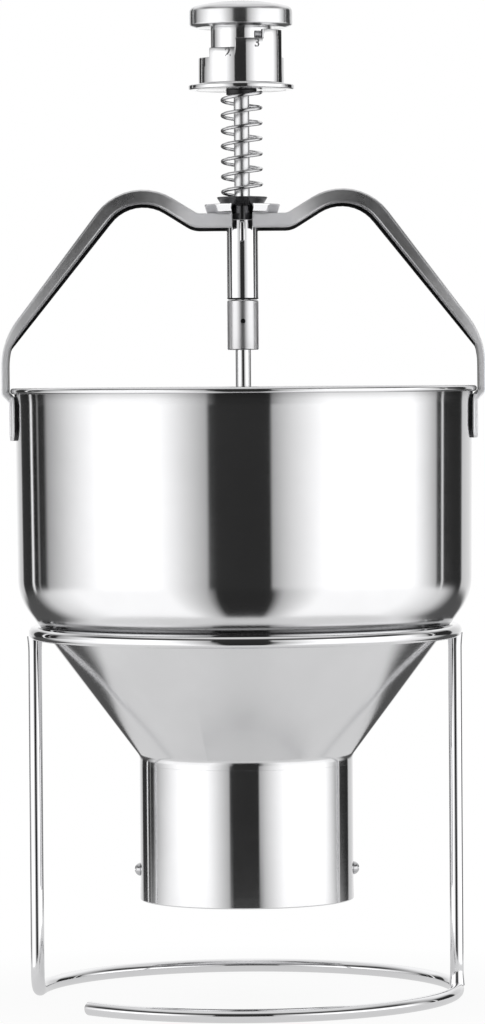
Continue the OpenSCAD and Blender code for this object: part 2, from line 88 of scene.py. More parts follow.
# Hopper
RIM_R = 120.0
RIM_Z = high_z("hopper_bowl")
BEAD_R = 1.6
FLARE_Z = RIM_Z - 9
FLARE_OUT = 0.35
FLARE_R = 30.0
BOWL_R = 117.6
LOW_R = 116.7
BOWL_H = 108.0
CORNER_Z = RIM_Z - BOWL_H
CORNER_R = 30.0
CONE_ANGLE = math.radians(37)
TUBE_R = 55.0
TUBE_T = 1.5
SHEET_T = 1.2
NECK_BLEND_R = 6.0
NECK_Z = low_z("hopper_bowl")
TUBE_Z = low_z("outlet_tube")
CONE_Z = CORNER_Z - (LOW_R - TUBE_R) / math.tan(CONE_ANGLE)


def wall_r(z):
    """Outer radius of the bowl's wall at a height."""
    return BOWL_R - (BOWL_R - LOW_R) * (RIM_Z - z) / BOWL_H


# Nozzle insert
SKIRT_R = 53.4
BORE_R = 23.0
NOZZLE_T = 2.0
SKIRT_Z = TUBE_Z + 7.3
BORE_Z = TUBE_Z + 9.3
WEB_Z = BORE_Z + 26.0
WEB_ANGLE = math.radians(26)
SKIRT_TOP_Z = WEB_Z + (SKIRT_R - BORE_R) * math.tan(WEB_ANGLE)
SCREW_Z = TUBE_Z + 15.4
SCREW_HEAD_R = 3.4
SCREW_HEAD_H = 3.0
SHANK_R = 2.0
SHANK_L = 8.5
SIDE_NUT_W = 7.0
SIDE_NUT_H = 3.2

# Handle
STRAP_T = 3.0
STRAP_W = 25.0
LIP_DEPTH = 8.6
KNEE_LIP = 6.1
LIP_END = 2.0
LIP_T = 2.5
ARM_X = 124.0
BRIDGE_Z = low_z("thrust_plate")
BRIDGE_HALF = 23.0
RISE_ANGLE = math.radians(32)
ARM_ANGLE = math.radians(37)
ARCH_R = 29.3
KNEE_Z = RIM_Z + 24.0
KNEE_R = 40.0
APEX_X = 0.4715 * ARM_X
APEX_Z = KNEE_Z + (ARM_X - APEX_X) / math.tan(ARM_ANGLE)
JOG_Z = RIM_Z - 3.4
JOG_H = 4.2
JOG_R = 2.2
TAB_W = 42.0
TAB_Z = low_z("handle_bridge")
WALL_GAP = 0.1
TAB_R = BOWL_R + WALL_GAP
TAB_CORNER_R = 8.0
NOTCH_W = 10.4

# Guide, spring and plunger
ROD_R = 4.0
ROD_FIT_R = ROD_R + FIT
ROD_RUN_R = ROD_R + RUN
SLEEVE_R = 8.1
SLEEVE_Z = low_z("guide_sleeve")
SLEEVE_TOP = high_z("guide_sleeve")
STOP_Z = low_z("stop_collar")
STOP_TOP = high_z("stop_collar")
PLATE_R = 19.5
HUB_R = 5.0
HUB_Z = low_z("lower_spring_seat")
SEAT_TOP = high_z("lower_spring_seat")
SEAT_Z = SEAT_TOP - 4.6
SPRING_FLOOR = SEAT_Z + 2.0
UPPER_SEAT_Z = low_z("dose_collar")
SPRING_L = UPPER_SEAT_Z - SPRING_FLOOR
SPRING_R = 10.02
SPRING_WIRE_R = 0.94
SPRING_TURNS = 7
SPRING_GAP = 0.3

# Knob and dose collar
CAP_Z = high_z("knob_neck")
CAP_TOP = high_z("knob_cap")
CAP_R = 26.5
NECK_R = 15.7
COLLAR_R = 22.0
COLLAR_BORE_R = 19.0
FLANGE_R = 27.2
FLANGE_T = 2.6
LAND_Z = UPPER_SEAT_Z + 16.2
STEP_H = 4.63
FIRST_RISER = math.radians(-138)
STEP_ANGLE = math.radians(40)
STEP_COUNT = 3


# Plane lines and meshes

ARC_STEPS = 10
SEGMENTS = 192


def circle(count):
    """Angles of as many even steps round a circle."""
    return [2 * math.pi * k / count for k in range(count)]


def polar(r, a, z):
    return r * math.cos(a), r * math.sin(a), z


def arc_line(middle, r, start, end, steps):
    """Points of an arc in a plane."""
    turns = [start + (end - start) * k / steps for k in range(steps + 1)]
    return [Vector(middle) + r * Vector((math.cos(a), math.sin(a))) for a in turns]


def upright(inner, outer, low, high):
    """Section of a bar or a tube, between two radii and two heights."""
    return [(inner, low), (outer, low), (outer, high), (inner, high)]


def unit(v):
    return v / v.length


def left(v):
    return Vector((-v.y, v.x))


def fillet(points, radii, closed=False):
    """The line with its corners rounded. A radius of 0 keeps a corner sharp."""
    points = [Vector(p) for p in points]
    count = len(points)
    line = []
    for i, (here, r) in enumerate(zip(points, radii)):
        if r == 0 or (not closed and i in (0, count - 1)):
            line.append(here)
            continue
        into = unit(here - points[i - 1])
        out = unit(points[(i + 1) % count] - here)
        side = math.copysign(1, into.cross(out))
        turn = math.acos(max(-1, min(1, into.dot(out))))
        start = here - into * r * math.tan(turn / 2)
        middle = start + left(into) * r * side
        for k in range(ARC_STEPS + 1):
            line.append(middle + Matrix.Rotation(side * turn * k / ARC_STEPS, 2) @ (start - middle))
    return line


def shifted(points, radii, d):
    """The line and its radii, moved by d to the left of its way."""
    points = [Vector(p) for p in points]
    ways = [unit(b - a) for a, b in zip(points, points[1:])]
    out = []
    for i, p in enumerate(points):
        a, b = left(ways[max(i - 1, 0)]), left(ways[min(i, len(ways) - 1)])
        out.append(p + d * (a + b) / (1 + a.dot(b)))
    turns = [0] + [math.copysign(1, u.cross(w)) for u, w in zip(ways, ways[1:])] + [0]
    return out, [r - d * turn if r else 0 for r, turn in zip(radii, turns)]


def sheet(points, radii, t, edge):
    """Closed section of a bent sheet: the line, and the same line t to its left, with both ends rounded."""
    back, back_radii = shifted(points, radii, t)
    loop = [Vector(p) for p in points] + back[::-1]
    rounds = list(radii) + back_radii[::-1]
    for i in (0, len(points) - 1, len(points), len(loop) - 1):
        rounds[i] = edge
    return fillet(loop, rounds, closed=True)


def lathe(line, closed=True, segments=SEGMENTS):
    """Vertices and faces of a line of (radius, height) turned about the Z axis."""
    verts, rings = [], []
    for r, z in line:
        first = len(verts)
        if r < 1e-6:
            verts.append((0, 0, z))
            rings.append([first] * segments)
        else:
            verts += [polar(r, a, z) for a in circle(segments)]
            rings.append(list(range(first, first + segments)))
    faces = []
    for low, high in zip(rings, rings[1:] + rings[:1] if closed else rings[1:]):
        for i in range(segments):
            j = (i + 1) % segments
            face = list(dict.fromkeys((low[i], low[j], high[j], high[i])))
            if len(face) > 2:
                faces.append(face)
    return verts, faces


def bar(r, low, high, rounds, segments):
    """A turned bar, with the radii of its low and its high edge."""
    return lathe(fillet(upright(0, r, low, high), [0, *rounds, 0]), closed=False, segments=segments)


def block(sections, ends=True):
    """Vertices and faces of a row of closed sections with as many points each."""
    size = len(sections[0])
    verts = [tuple(p) for section in sections for p in section]
    faces = []
    for k in range(len(sections) - 1):
        for i in range(size):
            j = (i + 1) % size
            faces.append((k * size + i, k * size + j, (k + 1) * size + j, (k + 1) * size + i))
    if ends:
        faces.append(tuple(range(size)))
        faces.append(tuple(range(len(verts) - 1, len(verts) - size - 1, -1)))
    return verts, faces


def tube_along(path, radii, sides, closed=False):
    """A round wire along a path, with a radius for each of its points."""
    path = [Vector(p) for p in path]
    count = len(path)
    sections = []
    normal = None
    for i, p in enumerate(path):
        if closed:
            way = unit(path[(i + 1) % count] - path[i - 1])
        else:
            way = unit(path[min(i + 1, count - 1)] - path[max(i - 1, 0)])
        if normal is None:
            normal = way.orthogonal()
        normal = unit(normal - way * normal.dot(way))
        other = way.cross(normal)
        sections.append([p + radii[i] * (normal * math.cos(a) + other * math.sin(a)) for a in circle(sides)])
    if closed:
        verts, faces = block(sections, ends=False)
        last = (count - 1) * sides
        faces += [(last + i, last + (i + 1) % sides, (i + 1) % sides, i) for i in range(sides)]
        return verts, faces
    return block(sections)


def joined(*parts):
    """One list of vertices and faces from several."""
    verts, faces = [], []
    for more_verts, more_faces in parts:
        first = len(verts)
        verts += list(more_verts)
        faces += [tuple(first + i for i in face) for face in more_faces]
    return verts, faces


def moved(part, matrix):
    return [tuple(matrix @ Vector(v)) for v in part[0]], part[1]


def make_object(name, part, looks=()):
    """A mesh object, in metres, from vertices and faces in millimetres. Looks gives each face's material by number."""
    mesh = bpy.data.meshes.new(name)
    mesh.from_pydata([Vector(v) * MM for v in part[0]], [], part[1])
    if looks:
        mesh.polygons.foreach_set("material_index", looks)
    work = bmesh.new()
    work.from_mesh(mesh)
    bmesh.ops.remove_doubles(work, verts=work.verts, dist=1e-7)
    bmesh.ops.recalc_face_normals(work, faces=work.faces)
    work.to_mesh(mesh)
    work.free()
    obj = bpy.data.objects.new(name, mesh)
    bpy.context.scene.collection.objects.link(obj)
    return obj


def cut(obj, *cutters):
    """Takes the cutters' shapes out of an object and deletes them."""
    for cutter in cutters:
        tool = obj.modifiers.new("cut", "BOOLEAN")
        tool.operation = "DIFFERENCE"
        tool.solver = "EXACT"
        tool.object = cutter
    shape = obj.evaluated_get(bpy.context.evaluated_depsgraph_get())
    mesh = bpy.data.meshes.new_from_object(shape)
    obj.modifiers.clear()
    obj.data = mesh
    for cutter in cutters:
        bpy.data.objects.remove(cutter)


def step_looks(line, dark, segments=SEGMENTS):
    """Material numbers for a turned closed line: 1 where dark holds at both ends of a step."""
    return [int(dark(a) and dark(b)) for a, b in zip(line, line[1:] + line[:1]) for _ in range(segments)]


def two_looks(obj, slot):
    """The slot's look for faces numbered 0 and the shaded one for faces numbered 1."""
    for material in (LOOKS[slot], SHADE):
        obj.data.materials.append(material)


SMOOTH_ANGLE = math.radians(32)


def dress(obj, slot, body, nodes=()):
    """Smooth shading, the slot's material, the body to ride on and the CAD nodes that the piece stands for."""
    obj.data.shade_smooth()
    obj.data.set_sharp_from_angle(angle=SMOOTH_ANGLE)
    if not any(obj.data.materials):
        obj.data.materials.clear()
        obj.data.materials.append(LOOKS[slot])
    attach(obj, body)
    if nodes:
        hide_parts(*nodes)
    return obj


def piece(name, part, slot, body, nodes=()):
    return dress(make_object(name, part), slot, body, nodes)


def turned_piece(name, points, radii, slot, body, node, segments=SEGMENTS, closed=True):
    """A piece turned from a line of (radius, height) with rounded corners. It stands for one node."""
    return piece(name, lathe(fillet(points, radii, closed), closed, segments), slot, body, [node])


# Materials

def linear(level):
    """Linear value of a grey level as it shows on a screen."""
    return ((level + 0.055) / 1.055) ** 2.4 if level > 0.04045 else level / 12.92


class Graph:
    """Short names for building a node tree."""

    def __init__(self, tree):
        self.tree = tree
        tree.nodes.clear()

    def node(self, kind, settings=(), **sockets):
        node = self.tree.nodes.new("ShaderNode" + kind)
        for name, value in dict(settings).items():
            setattr(node, name, value)
        for name, value in sockets.items():
            self.feed(node.inputs[name.replace("_", " ")], value)
        return node

    def feed(self, socket, value):
        if isinstance(value, bpy.types.NodeSocket):
            self.tree.links.new(value, socket)
        else:
            socket.default_value = value

    def sum(self, operation, *values):
        node = self.tree.nodes.new("ShaderNodeMath")
        node.operation = operation
        for socket, value in zip(node.inputs, values):
            self.feed(socket, value)
        return node.outputs[0]

    def noise(self, vector, scale, detail=2.0, rough=0.5):
        node = self.node("TexNoise", Vector=vector, Scale=scale, Detail=detail, Roughness=rough)
        return node.outputs[0]

    def spread(self, value, low, high, start=0.3, end=0.7):
        node = self.node("MapRange", Value=value, From_Min=start, From_Max=end, To_Min=low, To_Max=high)
        return node.outputs[0]

    def ramp(self, value, stops):
        node = self.node("ValToRGB", Fac=value)
        marks = node.color_ramp.elements
        while len(marks) < len(stops):
            marks.new(0.5)
        for mark, (place, colour) in zip(marks, stops):
            mark.position = place
            mark.color = (*colour, 1)
        return node.outputs[0]

    def mix(self, factor, first, second, kind="MIX"):
        """A blend of two colours. A Mix node keeps its colours in inputs 6 and 7 and gives one at output 2."""
        node = self.node("Mix", {"data_type": "RGBA", "blend_type": kind}, Factor=factor)
        self.feed(node.inputs[6], first)
        self.feed(node.inputs[7], second)
        return node.outputs[2]

    def choose(self, factor, first, second):
        """A mix of two shaders."""
        node = self.node("MixShader", Fac=factor)
        self.feed(node.inputs[1], first.outputs[0])
        self.feed(node.inputs[2], second.outputs[0])
        return node

    def place(self):
        """The piece's own coordinates, in metres."""
        return self.node("TexCoord").outputs["Object"]

    def axes(self):
        return self.node("SeparateXYZ", Vector=self.place()).outputs

    def radius(self):
        x, y, _ = self.axes()
        return self.sum("SQRT", self.sum("ADD", self.sum("MULTIPLY", x, x), self.sum("MULTIPLY", y, y)))

    def turned(self, across, around):
        """Coordinates for rings round the Z axis: radius and height times across, angle times around."""
        x, y, z = self.axes()
        return self.node("CombineXYZ", X=self.sum("MULTIPLY", self.radius(), across),
                         Y=self.sum("MULTIPLY", self.sum("ARCTAN2", y, x), around),
                         Z=self.sum("MULTIPLY", z, across)).outputs[0]

    def along(self, axis, stops):
        """A value that changes along an axis of the piece, by stops of (millimetres, value)."""
        low, high = stops[0][0], stops[-1][0]
        share = self.spread(self.axes()[axis], 0.0, 1.0, low * MM, high * MM)
        return self.ramp(share, [((at - low) / (high - low), [value] * 3) for at, value in stops])


def new_material(name):
    material = bpy.data.materials.new(name)
    material.use_nodes = True
    return material, Graph(material.node_tree)


def finish_material(graph, shader):
    graph.node("OutputMaterial", Surface=shader.outputs[0])


def steel(name, colour, rough, lines, line_depth, cloud, stain, around=0.6, spun=0.0, matt=(), painted_light=()):
    """Steel with a fine lay of so many lines per metre, cloudy gloss and faint stains.

    The lay is rings round the Z axis, or the same all over where around is 0. Spun steel smears its reflections across
    the rings. Matt adds roughness, and the colour scale after it paints light and shade along an axis: each is the
    axis and its stops of (millimetres, value).
    """
    material, graph = new_material(name)
    if around:
        lay = graph.noise(graph.turned(lines, around), 1.0, 3.0, 0.6)
    else:
        lay = graph.noise(graph.place(), lines, 3.0, 0.6)
    haze = graph.noise(graph.place(), 38.0, 4.0, 0.62)
    paint = graph.mix(graph.spread(haze, 0.0, 1.0), (*[c * (1 - stain) for c in colour], 1), (*colour, 1))
    gloss = graph.sum("ADD", graph.spread(haze, rough - cloud / 2, rough + cloud / 2),
                      graph.spread(lay, -cloud / 3, cloud / 3))
    if matt:
        gloss = graph.sum("ADD", gloss, graph.along(*matt))
    if painted_light:
        paint = graph.mix(1.0, paint, graph.along(*painted_light), "MULTIPLY")
    bump = graph.node("Bump", Height=lay, Strength=0.35, Distance=line_depth * MM)
    shader = graph.node("BsdfPrincipled", Base_Color=paint, Metallic=1.0, Roughness=gloss, Normal=bump.outputs[0])
    if spun:
        shader.inputs["Anisotropic"].default_value = spun
        shader.inputs["Anisotropic Rotation"].default_value = 0.25
        tangent = graph.node("Tangent", {"direction_type": "RADIAL", "axis": "Z"})
        graph.feed(shader.inputs["Tangent"], tangent.outputs[0])
    finish_material(graph, shader)
    return material


def soft_plastic(name, colour, rough, grain, depth, sheen=0.0):
    """Plastic or rubber with a fine turned or moulded grain and faint uneven colour."""
    material, graph = new_material(name)
    haze = graph.noise(graph.place(), 90.0, 4.0, 0.6)
    pores = graph.noise(graph.turned(grain, 3.0), 1.0, 2.0)
    paint = graph.mix(graph.spread(haze, 0.0, 1.0), (*[c * 0.9 for c in colour], 1), (*colour, 1))
    bump = graph.node("Bump", Height=pores, Strength=0.4, Distance=depth * MM)
    shader = graph.node("BsdfPrincipled", Base_Color=paint, Roughness=graph.spread(pores, rough, rough + 0.15),
                        Normal=bump.outputs[0])
    shader.inputs["Sheen Weight"].default_value = sheen
    finish_material(graph, shader)
    return material


# Zones of the looks, by millimetres along an axis: the painted shade on the hopper under its rim and where it rests
# on the ring, the handle's matt middle and ends, the painted light on the handle, the dull bush and upper rod, and the
# knob's softer cap
HOPPER_PAINTED_SHADE = ("Z", ((RING_Z - 2, 1.0), (RING_Z + 1, 0.75), (RING_Z + 4, 0.5), (RING_Z + 6.5, 0.8), (RING_Z + 9, 1.0),
                     (RIM_Z - 9, 1.0), (RIM_Z - 6, 0.9), (RIM_Z - 3.2, 0.65), (RIM_Z - 2.6, 1.0)))


def both_sides(stops):
    """Stops for both sides of the middle from those of one side."""
    return tuple((-at, value) for at, value in stops[::-1]) + tuple(stops)


HANDLE_MATT = ("X", both_sides(((24.5, 0.65), (26.5, 0.4), (40, 0.1), (60, 0.0), (90, 0.06), (112, 0.2), (120, 0.4),
                                (130, 0.45))))
# Painted light on the handle: its colour painted lighter on the bridge and at the knees as painted highlight, and
# darker along the arms as painted shade
HANDLE_PAINTED_LIGHT = ("X", both_sides(((26, 1.2), (45, 1.0), (60, 0.9), (85, 1.0), (108, 1.2), (130, 1.2))))
ROD_MATT = ("Z", ((STOP_Z, 0.0), (STOP_Z + 1, 0.22), (STOP_TOP - 1, 0.22), (STOP_TOP, 0.0), (SEAT_TOP, 0.0),
                  (SEAT_TOP + 4, 0.22)))
KNOB_MATT = ("Z", ((CAP_Z - 1, 0.0), (CAP_Z + 1, 0.12)))

LOOKS = {
    "stand_wire": steel("wire_chrome", (0.84, 0.84, 0.85), 0.06, 160, 0.008, cloud=0.03, stain=0.03, around=0),
    "hopper_steel": steel("spun_steel", (0.80, 0.80, 0.81), 0.12, 900, 0.002, cloud=0.02, stain=0.04, around=0.35,
                          spun=1.0, painted_light=HOPPER_PAINTED_SHADE),
    "handle_steel": steel("tumbled_steel", (0.78, 0.78, 0.79), 0.27, 300, 0.0004, cloud=0.05, stain=0.06, around=0,
                          matt=HANDLE_MATT, painted_light=HANDLE_PAINTED_LIGHT),
    "dark_steel": steel("dark_turned_steel", (0.14, 0.14, 0.145), 0.22, 2600, 0.008, cloud=0.08, stain=0.3),
    "rod_steel": steel("polished_bar", (0.78, 0.78, 0.79), 0.1, 1800, 0.006, cloud=0.05, stain=0.06, matt=ROD_MATT),
    "spring_steel": steel("spring_wire", (0.66, 0.66, 0.67), 0.1, 500, 0.008, cloud=0.05, stain=0.08, around=0),
    "knob_chrome": steel("knob_polish", (0.82, 0.82, 0.83), 0.11, 1500, 0.003, cloud=0.03, stain=0.04, spun=0.9,
                         matt=KNOB_MATT),
    "fastener_steel": steel("fastener_steel", (0.64, 0.64, 0.65), 0.2, 700, 0.01, cloud=0.08, stain=0.12, around=0),
    "piston_plastic": soft_plastic("white_plastic", (0.86, 0.86, 0.84), 0.32, 2400, 0.02),
    "seal_rubber": soft_plastic("seal_rubber", (0.56, 0.54, 0.50), 0.5, 900, 0.03, sheen=0.15),
}

# For faces that lie in the shade of their own piece: between the handle's lips, in the tabs' seams, under the sleeve
# and round the upper seat's spigot
SHADE = steel("shaded_steel", (0.06, 0.06, 0.062), 0.4, 1200, 0.01, cloud=0.1, stain=0.3)


# Stand

WELD_FLARE = 0.6
WELD_REACH = 4.5
WELD_FALL = 1.6
WIRE_STEP = 1.0


def arc_points(r, z, start, sweep, count):
    return [Vector(polar(r, start + sweep * k / count, z)) for k in range(count + 1)]


def straight(a, b, step):
    count = max(1, math.ceil((b - a).length / step))
    return [a.lerp(b, k / count) for k in range(count + 1)]


def flared(path, welded):
    """Wire radii along a path that swells into a weld near each welded point."""
    radii = []
    for p in path:
        near = min((p - w).length for w in welded)
        radii.append(WIRE_R + WELD_FLARE * max(0.0, 1 - near / (WIRE_R + WELD_REACH)) ** WELD_FALL)
    return radii


def rounded_end(path, radii, edge=0.6, steps=5):
    """Adds a rounded tip to the last point of a wire."""
    tip, way = path[-1], unit(path[-1] - path[-2])
    for k in range(1, steps + 1):
        a = math.pi / 2 * k / steps
        path.append(tip + way * edge * math.sin(a))
        radii.append(WIRE_R - edge * (1 - math.cos(a)))


top_ring = arc_points(STAND_R, RING_Z, 0, 2 * math.pi, 256)[:-1]
piece("stand_ring", tube_along(top_ring, [WIRE_R] * len(top_ring), 32, closed=True), "stand_wire", "stand",
      ["stand_top_ring"])

bend_turn = math.atan(LEG_BEND_R / STAND_R)
base_start = math.pi - bend_turn
foot = Vector(polar(STAND_R, base_start, WIRE_R))
ahead = Vector((math.sin(base_start), -math.cos(base_start), 0))
leg_top = foot - ahead * LEG_BEND_R + Vector((0, 0, RING_Z - LEFT_LEG_INSET - WIRE_R))
leg_low = foot - ahead * LEG_BEND_R + Vector((0, 0, LEG_BEND_R))
bend_middle = foot + Vector((0, 0, LEG_BEND_R))
bend = [bend_middle - LEG_BEND_R * (ahead * math.cos(a) + Vector((0, 0, 1)) * math.sin(a))
        for a in [math.pi / 2 * k / 16 for k in range(17)]]
base_path = straight(leg_top, leg_low, WIRE_STEP)[:-1] + bend
base_path += arc_points(STAND_R, WIRE_R, base_start, -BASE_SWEEP, 240)[1:]
base_radii = flared(base_path, [leg_top])
rounded_end(base_path, base_radii)
piece("stand_base", tube_along(base_path, base_radii, 28), "stand_wire", "stand", ["stand_base_wire"])

leg_foot = Vector((STAND_R, 0, WIRE_R + RIGHT_LEG_INSET))
leg_head = Vector((STAND_R, 0, RING_Z - RIGHT_LEG_INSET))
leg_path = straight(leg_foot, leg_head, WIRE_STEP)
piece("stand_leg", tube_along(leg_path, flared(leg_path, [leg_foot, leg_head]), 28), "stand_wire", "stand",
      ["stand_right_leg"])


# Hopper

BEAD_START = math.radians(-128)
SEAM_R = 0.08


def hopper_section():
    """Bowl, drawn corner and cone, with the sheet rolled over into the rim."""
    outside = [(TUBE_R, NECK_Z), (TUBE_R, CONE_Z), (LOW_R, CORNER_Z), (wall_r(FLARE_Z), FLARE_Z),
               (BOWL_R + FLARE_OUT, RIM_Z - 2 * BEAD_R)]
    radii = [0, NECK_BLEND_R, CORNER_R, FLARE_R, 0]
    inside, inside_radii = shifted(outside, radii, SHEET_T)
    curl = Vector((RIM_R - BEAD_R, RIM_Z - BEAD_R))
    bead = arc_line(curl, BEAD_R, BEAD_START, math.pi / 2, 20)
    mouth = curl.x - (BOWL_R - SHEET_T)
    lip = arc_line((curl.x, RIM_Z - mouth), mouth, math.pi / 2, math.pi, 12)[1:]
    return fillet(outside, radii) + bead + lip + fillet(inside, inside_radii)[::-1]


piece("hopper_shell", lathe(hopper_section(), segments=256), "hopper_steel", "hopper", ["hopper_bowl"])

tube_line = [(TUBE_R, TUBE_Z), (TUBE_R, NECK_Z), (TUBE_R - TUBE_T, NECK_Z), (TUBE_R - TUBE_T, TUBE_Z)]
turned_piece("outlet_pipe", tube_line, [0.6, SEAM_R, 0.2, 0.6], "hopper_steel", "hopper", "outlet_tube", 256)

nozzle_line = [(SKIRT_R, SKIRT_Z), (SKIRT_R, SKIRT_TOP_Z), (BORE_R, WEB_Z), (BORE_R, BORE_Z)]
piece("nozzle_insert", lathe(sheet(nozzle_line, [0, 3, 4, 0], NOZZLE_T, 0.5)), "hopper_steel", "hopper",
      ["nozzle_cone"])


NUT_CHAMFER = math.radians(30)
COUNTERSINK = 0.6


def hex_nut(width, bore, z, h, segments=72):
    """A nut with chamfered corners and a countersunk bore."""
    flat = width / 2
    chamfer = flat * 0.99
    wide = bore + COUNTERSINK
    rows = [[], [], [], []]
    for a in circle(segments):
        reach = flat / math.cos((a + math.pi / 6) % (math.pi / 3) - math.pi / 6)
        drop = (reach - chamfer) * math.tan(NUT_CHAMFER)
        for row, r, up in zip(rows, (chamfer, reach, reach, chamfer), (z, z + drop, z + h - drop, z + h)):
            row.append(polar(r, a, up))
    for r, up in ((wide, z + h), (bore, z + h - COUNTERSINK), (bore, z + COUNTERSINK), (wide, z)):
        rows.append([polar(r, a, up) for a in circle(segments)])
    return block(rows + rows[:1], ends=False)


def on_sides(part):
    """A part drawn up the Z axis, laid along +X and along -X at the height of the outlet's screws."""
    turns = [Matrix.Rotation(side * math.pi / 2, 4, "Y") for side in (1, -1)]
    return joined(*[moved(part, Matrix.Translation((0, 0, SCREW_Z)) @ turn) for turn in turns])


DOME_STEPS = 12
CROSS_L = 3.8
CROSS_W = 0.84
CROSS_DEPTH = 1.5
head_ball = (SCREW_HEAD_R ** 2 + SCREW_HEAD_H ** 2) / (2 * SCREW_HEAD_H)
head_top = TUBE_R + SCREW_HEAD_H
shank_end = TUBE_R - SHANK_L
screw_line = [(0, shank_end), (SHANK_R - 0.5, shank_end), (SHANK_R, shank_end + 0.5), (SHANK_R, TUBE_R),
              (SCREW_HEAD_R - 0.2, TUBE_R), (SCREW_HEAD_R, TUBE_R + 0.25)]
for k in range(2, DOME_STEPS + 1):
    up = SCREW_HEAD_H * k / DOME_STEPS
    screw_line.append((math.sqrt(max(0, head_ball ** 2 - (head_ball - SCREW_HEAD_H + up) ** 2)), TUBE_R + up))
screw = lathe(screw_line, closed=False, segments=48)
screws = make_object("outlet_screws", on_sides(screw))


def box_part(low, high):
    """Vertices and faces of a plain box, for cutters and for blocks that get bevelled."""
    (x0, y0, z0), (x1, y1, z1) = low, high
    return block([[(x0, y0, z), (x1, y0, z), (x1, y1, z), (x0, y1, z)] for z in (z0, z1)])


def cross_cutter(name, side, flat):
    """One slot of a screw's cross recess, long in Y when flat and long in Z when not."""
    half_y, half_z = (CROSS_L / 2, CROSS_W / 2) if flat else (CROSS_W / 2, CROSS_L / 2)
    near, far = sorted((side * (head_top - CROSS_DEPTH), side * (head_top + 1)))
    return make_object(name, box_part((near, -half_y, SCREW_Z - half_z), (far, half_y, SCREW_Z + half_z)))


cut(screws, *[cross_cutter("slot", side, flat) for side in (1, -1) for flat in (True, False)])
dress(screws, "fastener_steel", "hopper", ["nozzle_screws"])
nut_corner_r = SIDE_NUT_W / 2 / math.cos(math.pi / 6)
nut_seat = math.sqrt((SKIRT_R - NOZZLE_T) ** 2 - nut_corner_r ** 2) - FIT
side_nut = hex_nut(SIDE_NUT_W, SHANK_R + FIT, nut_seat - SIDE_NUT_H, SIDE_NUT_H)
piece("outlet_nuts", on_sides(side_nut), "fastener_steel", "hopper", ["nozzle_nuts"])


# Handle

# Radii of the bends into the lips and of the lips' outer edges, both smaller where a lip is shallow
BEND_R = 1.4
LIP_R = 1.6
THIN_R = 0.9
THIN_R_GAIN = 0.3
# The lips' inner edges, the least that they stand under the strap, how far they lean in and how deep the front one is
LIP_EDGE_R = 0.55
LEAST_LIP = 0.12
LIP_LEAN = 0.05
FRONT_LIP_SHARE = 0.8
# The strap swells where it is bent up from the bridge
BRIDGE_BEND_R = 4.5
BEND_SWELL = 0.8
SWELL_REACH = 4.5
STRAP_STEP = 2.0
TAB_T = 2.4
TAB_X = TAB_R + TAB_T
SEAM_GAP = 1.3
TAB_TOP = JOG_Z - JOG_H + 3
TAB_TOP_R = 4.0
TAB_EDGE_R = 0.7
TAB_SIDE_R = 0.5
TAB_ROWS = 40
TAB_COLUMNS = 24
STRAP_END_R = 7.0


def resampled(line, step):
    out = [line[0]]
    for a, b in zip(line, line[1:]):
        out += straight(a, b, step)[1:]
    return out


def strap_section(depth, half):
    """Section of the strap: u across, v down from its top face. The edges turn down to the given depth."""
    lip = depth - STRAP_T
    grown_r = THIN_R + THIN_R_GAIN * lip
    bend_r = min(BEND_R, grown_r)
    outer_r = min(LIP_R, grown_r)
    tip_r = min(LIP_EDGE_R, 0.45 * lip)
    inner = half - LIP_T
    lean = LIP_LEAN * lip
    front = STRAP_T + FRONT_LIP_SHARE * lip
    corners = [(-half + lean, front), (-half, 0), (half, 0), (half - lean, depth),
               (inner - lean, depth), (inner, STRAP_T), (-inner, STRAP_T), (-inner + lean, front)]
    return fillet(corners, [outer_r, bend_r, bend_r, outer_r, tip_r, tip_r, tip_r, tip_r], closed=True)


def strap_line():
    """The handle's top line from the end of the left tab over the middle to the end of the right tab."""
    right = [(BRIDGE_HALF, BRIDGE_Z), (APEX_X, APEX_Z), (ARM_X, KNEE_Z), (ARM_X, JOG_Z),
             (TAB_X, JOG_Z - JOG_H), (TAB_X, TAB_Z)]
    radii = [BRIDGE_BEND_R, ARCH_R, KNEE_R, JOG_R, JOG_R, 0]
    points = [(-x, z) for x, z in right[::-1]] + right
    return resampled(fillet(points, radii[::-1] + radii), STRAP_STEP)


def strap_sections():
    """Sections of the whole strap. Its lips grow shallower down each arm and run out at the knee."""
    line = strap_line()
    knee, apex = Vector((ARM_X, KNEE_Z)), Vector((APEX_X, APEX_Z))
    uphill = unit(apex - knee)
    inward = left(uphill)
    arch_end = (apex - knee).length - ARCH_R * math.tan((math.pi / 2 - ARM_ANGLE + RISE_ANGLE) / 2)
    edge_low = knee + uphill * LIP_END + inward * KNEE_LIP
    edge_high = knee + uphill * arch_end + inward * LIP_DEPTH
    edge_side = left(unit(edge_high - edge_low))
    sections = []
    for i, p in enumerate(line):
        way = unit(line[min(i + 1, len(line) - 1)] - line[max(i - 1, 0)])
        down = -left(way)
        here = Vector((abs(p.x), p.y))
        depth = LIP_DEPTH
        if abs(p.x) > APEX_X and (here - knee).dot(uphill) < arch_end:
            into = Vector((math.copysign(1, p.x) * down.x, down.y))
            depth = (edge_low - here).dot(edge_side) / into.dot(edge_side)
        depth = max(STRAP_T + LEAST_LIP, min(LIP_DEPTH, depth))
        half = STRAP_W / 2 + BEND_SWELL * math.exp(-((abs(p.x) - BRIDGE_HALF) / SWELL_REACH) ** 2)
        end = p.y - TAB_Z
        if end < STRAP_END_R and abs(p.x) > TAB_X - 1:
            half -= STRAP_END_R - math.sqrt(STRAP_END_R ** 2 - (STRAP_END_R - end) ** 2)
        wall = wall_r(p.y) + WALL_GAP
        section = []
        for u, v in strap_section(depth, half):
            x, z = p.x + down.x * v, p.y + down.y * v
            if p.y < JOG_Z - JOG_H / 2 and abs(u) < wall:
                x = math.copysign(max(abs(x), math.sqrt(wall * wall - u * u)), x)
            section.append((x, u, z))
        sections.append(section)
    return sections


